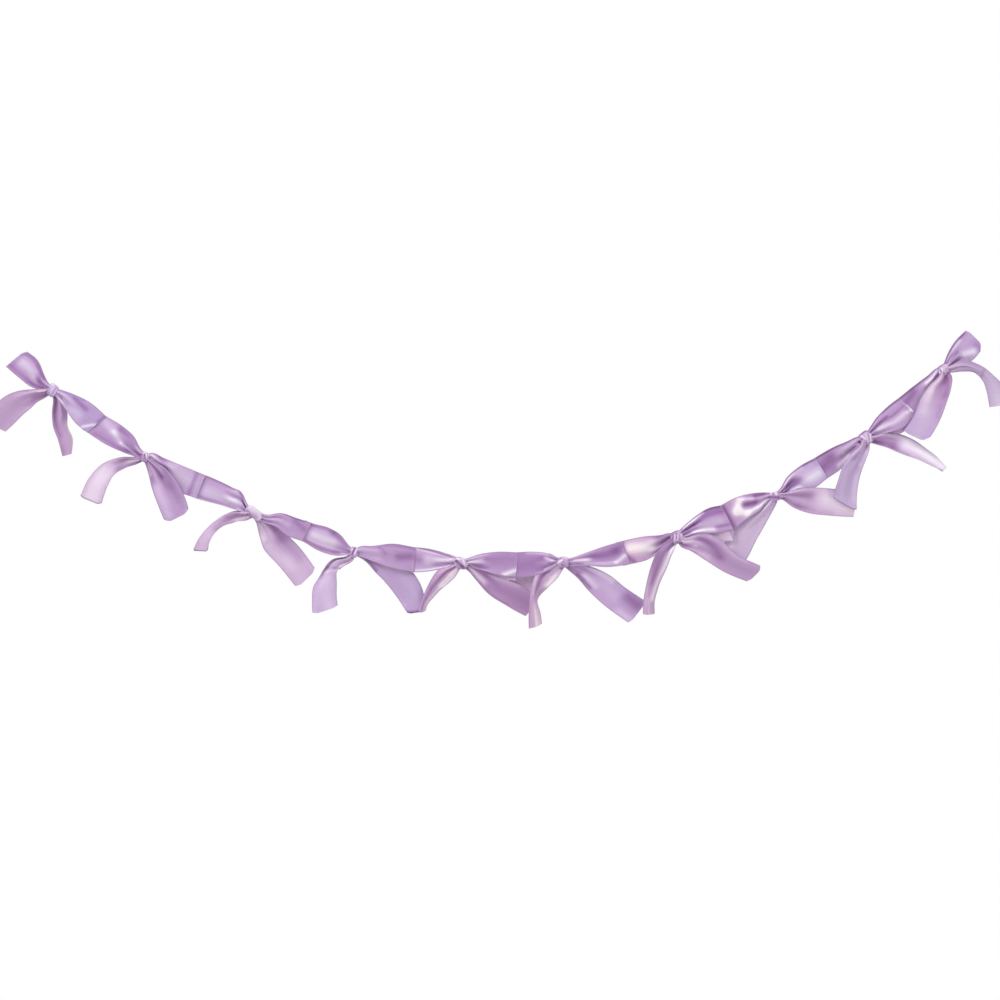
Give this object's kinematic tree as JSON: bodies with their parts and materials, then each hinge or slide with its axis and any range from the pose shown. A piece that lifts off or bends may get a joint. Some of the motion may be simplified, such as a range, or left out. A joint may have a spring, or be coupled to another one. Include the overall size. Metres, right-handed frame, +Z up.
{
  "type": "ribbon garland",
  "caption": "Hanging garland of tied satin ribbon bows, sewn loop to loop in one soft curve, with loose tails, to pin up at both ends.",
  "frame": {"origin": "the folded end of the first bow's left loop, in the middle of its width, where the garland's left end is pinned up", "axes": "+X along the garland to its right end, +Y into the wall, +Z up; the ribbon faces -Y"},
  "size_m": [1.0323, 0.0268, 0.2994],
  "materials": {
    "satin_ribbon": "lilac single-face satin ribbon, soft sheen"
  },
  "bodies": {
    "root": {"bow_1": "satin_ribbon", "bow_2": "satin_ribbon", "bow_3": "satin_ribbon", "bow_4": "satin_ribbon", "bow_5": "satin_ribbon", "bow_6": "satin_ribbon", "bow_7": "satin_ribbon", "bow_8": "satin_ribbon", "bow_9": "satin_ribbon", "bow_10": "satin_ribbon"}
  },
  "joints": []
}
